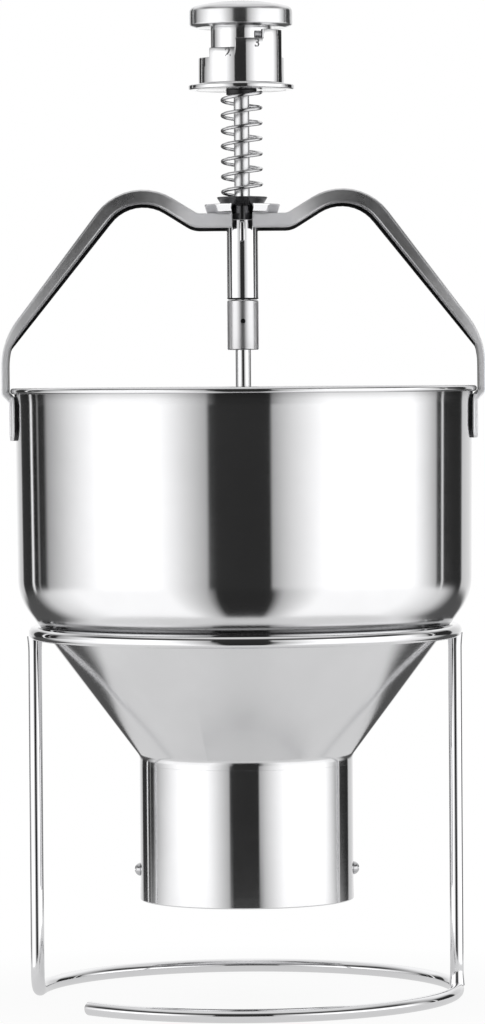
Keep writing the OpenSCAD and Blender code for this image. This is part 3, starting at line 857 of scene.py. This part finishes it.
def tab_part(side):
    """A plate with rounded corners that hugs the bowl under the rim."""
    sections = []
    for k in range(TAB_ROWS + 1):
        share = (1 - math.cos(math.pi * k / TAB_ROWS)) / 2
        z = TAB_Z + (TAB_TOP - TAB_Z) * share
        wall = wall_r(z) + WALL_GAP
        half = TAB_W / 2
        for end, r in ((z - TAB_Z, TAB_CORNER_R), (TAB_TOP - z, TAB_TOP_R)):
            if end < r:
                half -= r - math.sqrt(r * r - (r - end) ** 2)
        edge = min(1.0, min(z - TAB_Z, TAB_TOP - z) / TAB_EDGE_R)
        outer = wall + TAB_T - TAB_EDGE_R * (1 - math.sqrt(1 - (1 - edge) ** 2))
        bevel = 0.6 / wall
        turns = [half / wall * (2 * i / TAB_COLUMNS - 1) for i in range(TAB_COLUMNS + 1)]
        row = [(wall, a) for a in turns[::-1]]
        row += [(wall + SEAM_GAP, turns[0]), (outer - TAB_SIDE_R, turns[0])]
        row += [(outer, a) for a in [turns[0] + bevel] + turns[1:-1] + [turns[-1] - bevel]]
        row += [(outer - TAB_SIDE_R, turns[-1]), (wall + SEAM_GAP, turns[-1])]
        sections.append([(side * r * math.cos(a), r * math.sin(a), z) for r, a in row])
    return block(sections)


# The last four of the section's eight rounded corners are inside, between the lips
CORNER_POINTS = ARC_STEPS + 1
handle_rows = strap_sections()
inside = [int(4 * CORNER_POINTS <= i < 8 * CORNER_POINTS - 1) for i in range(len(handle_rows[0]))]
handle = make_object("handle_strap", block(handle_rows), inside * (len(handle_rows) - 1) + [0, 0])
two_looks(handle, "handle_steel")


def front_slot(low, high, mouth):
    """Cutter for the slot that lets the plunger in from the front. Its mouth opens with rounded corners."""
    half = NOTCH_W / 2
    back = arc_line((0, 0), half, 0, math.pi, 24)
    side = fillet([(-half, 0), (-half, -mouth), (-half - 4, -mouth - 0.8), (-half - 4, -mouth - 20)], [0, 2.0, 0, 0])
    line = back + side[1:] + [Vector((-p.x, p.y)) for p in side[:0:-1]]
    return make_object("slot", block([[(p.x, p.y, z) for p in line] for z in (low, high)]))


cut(handle, front_slot(BRIDGE_Z - LIP_DEPTH - 2, BRIDGE_Z + 2, STRAP_W / 2 - 0.4))
dress(handle, "handle_steel", "hopper", ["handle_bridge"])
# The seam along both sides of a tab gets painted shade
tab_row = [int(i in (TAB_COLUMNS, 2 * TAB_COLUMNS + 5)) for i in range(2 * TAB_COLUMNS + 6)]
tabs = make_object("handle_tabs", joined(tab_part(1), tab_part(-1)), (tab_row * TAB_ROWS + [0, 0]) * 2)
two_looks(tabs, "handle_steel")
dress(tabs, "handle_steel", "hopper")


# Guide on the handle's middle

PLATE_TOP = high_z("thrust_plate")
PLATE_FLOOR = PLATE_TOP - 0.8
PLATE_BORE_R = HUB_R + 0.1
plate_line = fillet([(PLATE_BORE_R, BRIDGE_Z), (PLATE_R - 1.3, BRIDGE_Z), (PLATE_R, PLATE_FLOOR), (PLATE_R, PLATE_TOP),
                     (PLATE_R - 3, PLATE_TOP), (PLATE_R - 3.8, PLATE_FLOOR), (PLATE_BORE_R, PLATE_FLOOR)],
                    [0.2, 1.6, 0.4, 0.3, 0.4, 0.4, 0.2], closed=True)
plate = make_object("thrust_dish", lathe(plate_line))
cut(plate, front_slot(BRIDGE_Z - 1, PLATE_TOP + 1, PLATE_R - 1.2))
dress(plate, "rod_steel", "hopper", ["thrust_plate"])

SOCKET_R = HUB_R + FIT
SOCKET_Z = SLEEVE_TOP - 3.03
sleeve_line = fillet([(ROD_RUN_R, SLEEVE_Z), (SLEEVE_R, SLEEVE_Z), (SLEEVE_R, SLEEVE_TOP), (SOCKET_R, SLEEVE_TOP),
                      (SOCKET_R, SOCKET_Z), (ROD_RUN_R, SOCKET_Z)], [0.3, 0.7, 0.5, 0.2, 0, 0.2], closed=True)
sleeve = make_object("guide_tube", lathe(sleeve_line, segments=128),
                     step_looks(sleeve_line, lambda p: p.y < SLEEVE_Z + 0.72, 128))
two_looks(sleeve, "rod_steel")
dress(sleeve, "rod_steel", "hopper", ["guide_sleeve"])


SHARP_EDGE = math.radians(40)


def round_edges(obj, width, steps, above=-math.inf, clamp=False):
    """Rounds the sharp edges of an object that lie above a height."""
    work = bmesh.new()
    work.from_mesh(obj.data)
    edges = [e for e in work.edges if len(e.link_faces) == 2 and e.calc_face_angle() > SHARP_EDGE
             and min(v.co.z for v in e.verts) > above * MM]
    bmesh.ops.bevel(work, geom=edges, offset=width * MM, segments=steps, profile=0.5, affect="EDGES",
                    clamp_overlap=clamp)
    work.to_mesh(obj.data)
    work.free()


key_low, key_high = (tuple(v / MM for v in corner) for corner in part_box("guide_key"))
key = make_object("guide_bar", box_part(key_low, key_high))
round_edges(key, 1.0, 6, clamp=True)
dress(key, "rod_steel", "hopper", ["guide_key"])

CUP_R = 11.15
seat_line = [(ROD_RUN_R, HUB_Z), (HUB_R, HUB_Z), (HUB_R, SEAT_Z), (10.5, SEAT_Z), (13.25, SEAT_TOP),
             (CUP_R, SEAT_TOP), (CUP_R, SPRING_FLOOR), (ROD_RUN_R, SPRING_FLOOR)]
turned_piece("lower_cup", seat_line, [0.2, 0.6, 0.3, 1.2, 0.35, 0.35, 0.6, 0.2], "dark_steel", "hopper",
             "lower_spring_seat", 128)


# Return spring, in two lengths of wire: the lower one stands on the handle, the upper one hangs from its seat

SPRING_STEPS = 48
SPRING_SPLIT = 0.5
SPRING_Z = SPRING_FLOOR + SPRING_GAP + SPRING_WIRE_R
SPRING_RISE = SPRING_L - 2 * SPRING_GAP - 2 * SPRING_WIRE_R


def spring_part(start, end, r, low_tip):
    """The wire between two shares of the spring. Its low or its high end runs straight on for one wire diameter."""
    count = SPRING_TURNS * SPRING_STEPS
    path = []
    for k in range(round(start * count), round(end * count) + 1):
        a = 2 * math.pi * k / SPRING_STEPS
        path.append(Vector(polar(SPRING_R, a, SPRING_Z + SPRING_RISE * k / count)))
    if low_tip:
        path.reverse()
    way = unit(Vector((path[-1].x - path[-2].x, path[-1].y - path[-2].y, 0)))
    radii = [r] * (len(path) + 1) + [0.75 * r]
    path += [path[-1] + way * 2 * r, path[-1] + way * 2.3 * r]
    if low_tip:
        path.reverse()
        radii.reverse()
    return tube_along(path, radii, 16)


lower_spring = piece("spring_lower", spring_part(0, SPRING_SPLIT, SPRING_WIRE_R, True), "spring_steel", "hopper",
                     ["return_spring"])
upper_spring = piece("spring_upper", spring_part(SPRING_SPLIT, 1, SPRING_WIRE_R - 0.02, False), "spring_steel",
                     "spring_seat")
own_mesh(lower_spring)
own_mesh(upper_spring)


# Plunger

piece("rod", bar(ROD_R, low_z("plunger_rod"), high_z("plunger_rod"), (0.8, 0.8), 96), "rod_steel", "plunger",
      ["plunger_rod"])

# Pin through the stop collar, with its ends sunk in their hole
PIN_R = 1.2
PIN_SINK = 1.0
pin_place = Matrix.Translation((0, 0, STOP_TOP - 11.0)) @ Matrix.Rotation(math.pi / 2, 4, "X")
stop_line = fillet(upright(ROD_FIT_R, SLEEVE_R, STOP_Z, STOP_TOP), [0.3, 0.6, 0.8, 0.3], closed=True)
stop = make_object("stop_bush", lathe(stop_line, segments=128))
hole_half = SLEEVE_R + 3.9
cut(stop, make_object("hole", moved(bar(PIN_R + 0.05, -hole_half, hole_half, (0, 0), 40), pin_place)))
dress(stop, "rod_steel", "plunger", ["stop_collar"])
pin_half = SLEEVE_R - PIN_SINK
pin = make_object("stop_cross_pin", moved(bar(PIN_R, -pin_half, pin_half, (0.4, 0.4), 40), pin_place))
# The pin is dark all over: painted shade, standing for the dark of the hole that its ends sit in
pin.data.materials.append(LOOKS["dark_steel"])
dress(pin, "fastener_steel", "plunger", ["stop_pin"])

CAP_DOME = 3.6
cap_ball = (CAP_R ** 2 + CAP_DOME ** 2) / (2 * CAP_DOME)
dome_spread = math.asin(CAP_R / cap_ball)
dome_line = arc_line((0, CAP_TOP - cap_ball), cap_ball, math.pi / 2 - dome_spread, math.pi / 2, 8)
NECK_BORE_R = NECK_R - 3.2
SPIGOT_R = NECK_BORE_R - RUN
cap_line = [(0, CAP_Z - 4), (SPIGOT_R, CAP_Z - 4), (SPIGOT_R, CAP_Z), (CAP_R - 3.5, CAP_Z), (CAP_R, CAP_Z + 1.2)]
turned_piece("knob_top", cap_line + dome_line, [0, 0.4, 0, 0.6, 1.2, 3.0] + [0] * 8, "knob_chrome", "plunger",
             "knob_cap", closed=False)

NECK_LOW = low_z("knob_neck")
NECK_FLOOR = NECK_LOW + 5
neck_line = [(ROD_FIT_R, NECK_LOW), (NECK_R, NECK_LOW), (NECK_R, CAP_Z), (NECK_BORE_R, CAP_Z),
             (NECK_BORE_R, NECK_FLOOR), (ROD_FIT_R, NECK_FLOOR)]
turned_piece("knob_stem", neck_line, [0.2, 0.8, 0.3, 0.2, 0.5, 0.2], "knob_chrome", "plunger", "knob_neck", 160)

pin_low, pin_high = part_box("dose_pin")
step_pin = bar((pin_high.x - pin_low.x) / 2 / MM, pin_low.y / MM, pin_high.y / MM, (0.4, 0.6), 48)
step_pin_place = Matrix.Translation((0, 0, middle_z("dose_pin"))) @ Matrix.Rotation(-math.pi / 2, 4, "X")
piece("step_pin", moved(step_pin, step_pin_place), "fastener_steel", "plunger", ["dose_pin"])

NUT_W = 13.0
NUT_H = 6.5
for name, node in (("stem_nut", "knob_nut"), ("piston_top_nut", "piston_nut"), ("disc_low_nut", "disc_nut")):
    piece(name, hex_nut(NUT_W, ROD_FIT_R, low_z(node), NUT_H), "fastener_steel", "plunger", [node])

PISTON_Z = low_z("piston")
PISTON_TOP = high_z("piston")
PISTON_R = 22.9
GROOVE_H = 2.6
groove_z = (PISTON_Z + PISTON_TOP - GROOVE_H) / 2
groove_r = PISTON_R - 2.4
piston_line = [(ROD_FIT_R, PISTON_Z), (PISTON_R, PISTON_Z), (PISTON_R, groove_z), (groove_r, groove_z),
               (groove_r, groove_z + GROOVE_H), (PISTON_R, groove_z + GROOVE_H), (PISTON_R, PISTON_TOP),
               (ROD_FIT_R, PISTON_TOP)]
turned_piece("piston_body", piston_line, [0.2, 1.0, 0.2, 0, 0, 0.2, 1.0, 0.2], "piston_plastic", "plunger", "piston")


def seal_ring(name, outer_r, section_r, body, node):
    path = arc_points(outer_r - section_r, middle_z(node), 0, 2 * math.pi, 160)[:-1]
    piece(name, tube_along(path, [section_r] * len(path), 20, closed=True), "seal_rubber", body, [node])


seal_ring("piston_seal", PISTON_R + 0.05, 1.1, "plunger", "piston_ring")
seal_ring("nozzle_seal", TUBE_R - TUBE_T - 0.1, 1.5, "hopper", "nozzle_gasket")

DISC_TOP = high_z("forming_disc")
SPACER_R = 6.0
turned_piece("spacer", upright(ROD_FIT_R, SPACER_R, DISC_TOP, PISTON_Z), [0.2, 0.4, 0.4, 0.2], "rod_steel", "plunger",
             "spacer_tube", 96)
DISC_R = BORE_R - 0.3
disc_line = [(ROD_FIT_R, BORE_Z), (DISC_R, BORE_Z), (DISC_R, BORE_Z + 4), (9, DISC_TOP), (ROD_FIT_R, DISC_TOP)]
turned_piece("shaping_disc", disc_line, [0.2, 0.5, 0.8, 0.6, 0.2], "rod_steel", "plunger", "forming_disc")


# Dose collar and its seat

COLUMNS = 180
STAIR_FOOT = UPPER_SEAT_Z + FLANGE_T + 3.0
SEAT_DISC_R = 23.0
SEAT_DISC_T = 1.2
RISERS = [FIRST_RISER + i * STEP_ANGLE for i in range(STEP_COUNT + 1)]


def stair_land(angle):
    """Number of the land at an angle: 0 is the lowest."""
    turned = (angle - FIRST_RISER) % (2 * math.pi)
    return 1 + int(turned // STEP_ANGLE) if turned < STEP_COUNT * STEP_ANGLE else 0


def stair_part():
    """Wall of the collar above its flange, with one land after another cut into its top edge."""
    levels = [STAIR_FOOT] + [LAND_Z + i * STEP_H for i in range(STEP_COUNT + 1)]
    turn = 2 * math.pi / COLUMNS
    tops = [1 + stair_land((c + 0.5) * turn) for c in range(COLUMNS)]
    index = {}
    verts, faces = [], []

    def add_face(*corners):
        face = []
        for c, k, r in corners:
            key = (c % COLUMNS, k, r)
            if key not in index:
                index[key] = len(verts)
                verts.append(polar(r, c * turn, levels[k]))
            face.append(index[key])
        faces.append(face)

    out, bore = COLLAR_R, COLLAR_BORE_R
    for c, top in enumerate(tops):
        for k in range(top):
            for r in (out, bore):
                add_face((c, k, r), (c + 1, k, r), (c + 1, k + 1, r), (c, k + 1, r))
        add_face((c, top, out), (c + 1, top, out), (c + 1, top, bore), (c, top, bore))
        for k in range(min(tops[c - 1], top), max(tops[c - 1], top)):
            add_face((c, k, out), (c, k + 1, out), (c, k + 1, bore), (c, k, bore))
    return verts, faces


recess_r, recess_z = SEAT_DISC_R + RUN, UPPER_SEAT_Z + SEAT_DISC_T + RUN
flange_line = fillet([(COLLAR_R, STAIR_FOOT), (COLLAR_R, UPPER_SEAT_Z + FLANGE_T), (FLANGE_R, UPPER_SEAT_Z + FLANGE_T),
                      (FLANGE_R, UPPER_SEAT_Z), (recess_r, UPPER_SEAT_Z), (recess_r, recess_z),
                      (COLLAR_BORE_R, recess_z), (COLLAR_BORE_R, STAIR_FOOT)], [0, 0.9, 0.8, 0.8, 0.3, 0, 0.3, 0])
collar = make_object("dose_sleeve", joined(stair_part(), lathe(flange_line, closed=False, segments=COLUMNS)))
round_edges(collar, 0.25, 2, above=STAIR_FOOT + 1)
dress(collar, "knob_chrome", "collar", ["dose_collar"])

SEAT_SPIGOT_R = 7.8
SEAT_HUB_R = COLLAR_BORE_R - RUN
seat_low = low_z("upper_spring_seat")
seat_top = high_z("upper_spring_seat")
disc_top = UPPER_SEAT_Z + SEAT_DISC_T
upper_line = fillet([(ROD_RUN_R, seat_low), (SEAT_SPIGOT_R, seat_low), (SEAT_SPIGOT_R, UPPER_SEAT_Z),
                     (SEAT_DISC_R, UPPER_SEAT_Z), (SEAT_DISC_R, disc_top), (SEAT_HUB_R, disc_top),
                     (SEAT_HUB_R, seat_top), (ROD_RUN_R, seat_top)],
                    [0.2, 0.5, 0.5, 0.3, 0.2, 0, 0.5, 0.2], closed=True)
upper_cup = make_object("upper_cup", lathe(upper_line), step_looks(upper_line, lambda p: p.y < UPPER_SEAT_Z - 0.01))
two_looks(upper_cup, "knob_chrome")
dress(upper_cup, "knob_chrome", "spring_seat", ["upper_spring_seat"])

NUMERAL_SIZE = 6.2
NUMERAL_WEIGHT = 0.16
NUMERAL_DROP = 2.7
NUMERAL_BACK = math.radians(10)
NUMERAL_DEPTH = 0.05


def numeral(text, angle, z):
    """A figure bent round the collar, with its middle at an angle and a height."""
    curve = bpy.data.curves.new("figure", "FONT")
    curve.body = text
    curve.size = NUMERAL_SIZE
    curve.align_x = "CENTER"
    curve.align_y = "CENTER"
    curve.extrude = NUMERAL_DEPTH
    curve.offset = NUMERAL_WEIGHT
    curve.resolution_u = 6
    holder = bpy.data.objects.new("figure", curve)
    bpy.context.scene.collection.objects.link(holder)
    mesh = bpy.data.meshes.new_from_object(holder.evaluated_get(bpy.context.evaluated_depsgraph_get()))
    verts = []
    for v in mesh.vertices:
        verts.append(polar(COLLAR_R + v.co.z - NUMERAL_DEPTH + 0.02, angle + v.co.x / COLLAR_R, z + v.co.y))
    faces = [tuple(p.vertices) for p in mesh.polygons]
    bpy.data.objects.remove(holder)
    bpy.data.curves.remove(curve)
    bpy.data.meshes.remove(mesh)
    return verts, faces


figures = [numeral(str(i + 1), riser - NUMERAL_BACK, LAND_Z + i * STEP_H - NUMERAL_DROP)
           for i, riser in enumerate(RISERS)]
piece("dose_figures", joined(*figures), "dark_steel", "collar")


# Studio

# Floor in metres: how far it reaches, where its shadow fades into white, and where the painted shadow in its shine,
# darker under the middle, grows to full shine
FLOOR_SIDE = 0.25
FLOOR_FRONT = 0.2
FLOOR_BACK = 0.612
FLOOR_FADE = (0.13, 0.24)
FLOOR_SHINE = 0.76
FLOOR_PAINTED_SHADOW = (0.06, 0.14)
FLOOR_COLOUR = (0.9, 0.9, 0.9, 1)
FLOOR_SINK = 0.0002
WHITE = (1, 1, 1, 1)

# Grey level of the studio to the left and to the right, by degrees away from the camera's own direction:
# a dark room behind the camera, a large soft light, two flags with gaps between them and a pale wall at the back
LEFT_STUDIO = [(0, 0.17), (17.4, 0.18), (18.6, 0.66), (30, 0.86), (46, 1.08), (74, 1.08), (100, 0.84), (117, 0.6),
               (120.5, 0.16), (126.2, 0.12), (126.9, 0.5), (127.9, 0.5), (128.6, 0.12), (133.4, 0.12),
               (134.3, 0.95), (136, 0.95), (137, 0.16), (151.5, 0.2), (153.5, 0.74), (166, 0.82), (180, 0.84)]
RIGHT_STUDIO = [(0, 0.17), (12.8, 0.17), (14, 0.68), (24, 0.86), (44, 1.08), (92, 1.08), (108, 0.78), (112.5, 0.66),
                (114, 0.25), (117.5, 0.14), (118.2, 0.85), (119.4, 0.85), (120.1, 0.14), (140, 0.16), (142, 0.24),
                (144, 0.76), (160, 0.82), (180, 0.84)]
LEVEL_GAIN = 1.22
# The same above and below the lights, for both sides. A rise is where one gives way to the next, by the height of a
# direction of length 1
ROOF = [(0, 0.2), (95, 0.2), (140, 0.9), (180, 1.0)]
ROOF_RISE = (0.24, 0.42)
ZENITH = (0.8, 0.8, 0.8, 1)
ZENITH_RISE = (0.6, 0.82)
GROUND_RISE = (-0.2, -0.12)
GROUND = [(0, 0.16), (14, 0.16), (20, 0.7), (40, 1.0), (95, 1.0), (124, 0.8), (138, 0.3), (180, 0.3)]
# Degrees over which the back wall turns into the white background, which metal shows too
BACKDROP = (158, 176)


def make_world():
    world = bpy.data.worlds.new("studio")
    bpy.context.scene.world = world
    world.use_nodes = True
    graph = Graph(world.node_tree)
    x, y, z = graph.node("SeparateXYZ", Vector=graph.node("TexCoord").outputs["Generated"]).outputs
    turn = graph.sum("ARCTAN2", graph.sum("ABSOLUTE", x), graph.sum("MULTIPLY", y, -1.0))
    share = graph.sum("DIVIDE", turn, math.pi)

    def around(stops):
        return graph.ramp(share, [(angle / 180, [LEVEL_GAIN * linear(level)] * 3) for angle, level in stops])

    band = graph.mix(graph.sum("GREATER_THAN", x, 0.0), around(LEFT_STUDIO), around(RIGHT_STUDIO))
    roof = graph.mix(graph.spread(z, 0.0, 1.0, *ZENITH_RISE), around(ROOF), ZENITH)
    upper = graph.mix(graph.spread(z, 0.0, 1.0, *ROOF_RISE), band, roof)
    room = graph.mix(graph.spread(z, 1.0, 0.0, *GROUND_RISE), upper, around(GROUND))
    studio = graph.node("Background", Color=room, Strength=1.0)
    white = graph.node("Background", Color=WHITE, Strength=1.0)
    path = graph.node("LightPath").outputs
    backdrop = graph.sum("MULTIPLY", graph.spread(share, 0.0, 1.0, *[angle / 180 for angle in BACKDROP]),
                         graph.spread(z, 0.0, 1.0, *GROUND_RISE))
    mirrored = graph.sum("MAXIMUM", path["Is Glossy Ray"], path["Is Transmission Ray"])
    seen = graph.sum("MAXIMUM", path["Is Camera Ray"], graph.sum("MULTIPLY", mirrored, backdrop))
    graph.node("OutputWorld", Surface=graph.choose(seen, studio, white).outputs[0])


def make_floor():
    """A pale floor that keeps a faint shadow of the object and fades into the white background.

    It reaches farthest to the back, so the cone's edges reflect the darker room beside it. In reflections it shows a
    shine with a painted shadow, darker under the middle.
    """
    material, graph = new_material("pale_floor")
    reach = graph.radius()
    path = graph.node("LightPath").outputs
    paint = graph.node("BsdfDiffuse", Color=FLOOR_COLOUR)
    light = graph.node("Emission", Color=WHITE, Strength=1.0)
    shine = graph.node("Emission", Color=WHITE,
                       Strength=graph.spread(reach, 0.84 * FLOOR_SHINE, FLOOR_SHINE, *FLOOR_PAINTED_SHADOW))
    fade = graph.sum("MULTIPLY", path["Is Camera Ray"], graph.spread(reach, 0.93, 1.0, *FLOOR_FADE))
    finish_material(graph, graph.choose(path["Is Glossy Ray"], graph.choose(fade, paint, light), shine))
    rim = []
    for a in circle(128):
        depth = FLOOR_BACK if math.sin(a) > 0 else FLOOR_FRONT
        rim.append(Vector((FLOOR_SIDE * math.cos(a), depth * math.sin(a), -FLOOR_SINK)) / MM)
    floor = make_object("floor", (rim, [tuple(range(len(rim)))]))
    floor.data.materials.append(material)


make_world()
make_floor()


# Camera, for a picture of 485 by 1024

CAMERA_AT = Vector((0, -2.575, 0.318))
CAMERA_AIM = Vector((-0.001, 0, 0.2502))
CAMERA_ROLL = math.radians(-0.42)
CAMERA_LENS = 175.8
CAMERA_SENSOR = 36


def make_camera():
    data = bpy.data.cameras.new("camera")
    data.sensor_width = CAMERA_SENSOR
    data.lens = CAMERA_LENS
    camera = bpy.data.objects.new("camera", data)
    bpy.context.scene.collection.objects.link(camera)
    turn = (CAMERA_AIM - CAMERA_AT).to_track_quat("-Z", "Y").to_matrix().to_4x4()
    camera.matrix_world = Matrix.Translation(CAMERA_AT) @ turn @ Matrix.Rotation(CAMERA_ROLL, 4, "Z")
    bpy.context.scene.camera = camera


make_camera()
bpy.context.scene.view_settings.view_transform = "Standard"
